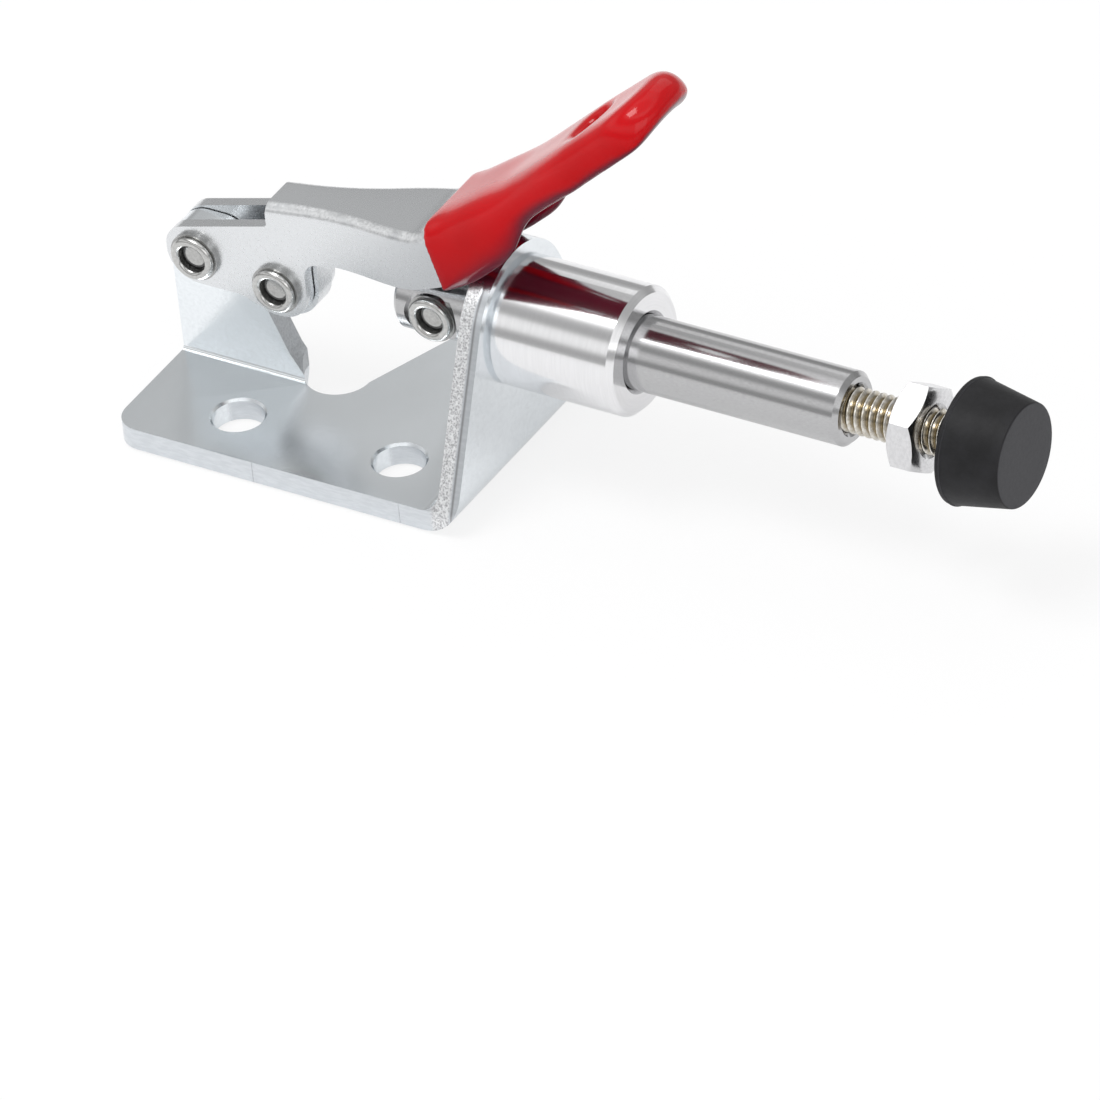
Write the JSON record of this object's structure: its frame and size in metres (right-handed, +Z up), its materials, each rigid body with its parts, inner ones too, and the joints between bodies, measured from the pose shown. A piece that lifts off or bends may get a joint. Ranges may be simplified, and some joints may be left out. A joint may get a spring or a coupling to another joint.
{
  "type": "toggle clamp",
  "caption": "Small push-pull toggle clamp: a pressed handle swings an arched link that drives a plunger with an adjustable rubber tip through a guide barrel on a folded base.",
  "frame": {"origin": "midway between the two mounting holes, on the base's underside", "axes": "+X along the plunger towards the rubber tip, +Z up away from the mounting surface, +Y across, from the mounting holes towards the plunger's line"},
  "size_m": [0.0808, 0.0251, 0.0412],
  "materials": {
    "zinc_plate": "satin zinc-plated sheet",
    "turned_steel": "fine-turned and plated",
    "pressed_steel": "satin zinc-plated pressing",
    "red_vinyl": "glossy dipped coating",
    "link_steel": "satin zinc-plated",
    "polished_rod": "polished and plated",
    "rivet_steel": "bright plated",
    "washer_steel": "plated",
    "thread_steel": "plated, rolled thread",
    "nut_steel": "bright plated",
    "black_rubber": "matte moulded"
  },
  "bodies": {
    "base": {"base": "zinc_plate", "guide_barrel": "turned_steel"},
    "handle": {"handle": "pressed_steel", "grip_sleeve": "red_vinyl", "rear_rivet": "rivet_steel", "rear_washer": "washer_steel", "middle_rivet": "rivet_steel", "middle_washer": "washer_steel"},
    "link": {"link": "link_steel"},
    "plunger": {"plunger": "polished_rod", "front_rivet": "rivet_steel", "front_washer": "washer_steel"},
    "tip": {"spindle_bolt": "thread_steel", "rubber_tip": "black_rubber"},
    "nut": {"lock_nut": "nut_steel"}
  },
  "joints": [
    {"name": "handle_swing", "type": "hinge", "parent": "base", "child": "handle", "pos_m": [-0.0137, 0.0073, 0.01315], "axis": [0, -1, 0], "range_deg": [0, 155]},
    {"name": "link_swing", "type": "hinge", "parent": "handle", "child": "link", "pos_m": [-0.00595, 0.0073, 0.01205], "axis": [0, -1, 0], "range_deg": [-174.78, 0]},
    {"name": "plunger_slide", "type": "slide", "parent": "base", "child": "plunger", "axis": [1, 0, 0], "range_m": [-0.0146, 0]},
    {"name": "tip_adjust", "type": "slide", "parent": "plunger", "child": "tip", "axis": [1, 0, 0], "range_m": [-0.0045, 0.005]},
    {"name": "nut_turn", "type": "hinge", "parent": "tip", "child": "nut", "pos_m": [0.0541, 0.0073, 0.0139], "axis": [1, 0, 0], "range_deg": [-180, 180]}
  ],
  "couplings": [
    {"joint": "link_swing", "follows": "handle_swing", "ratio": -1.1276},
    {"joint": "plunger_slide", "follows": "handle_swing", "m_per_rad": -0.0053971}
  ]
}
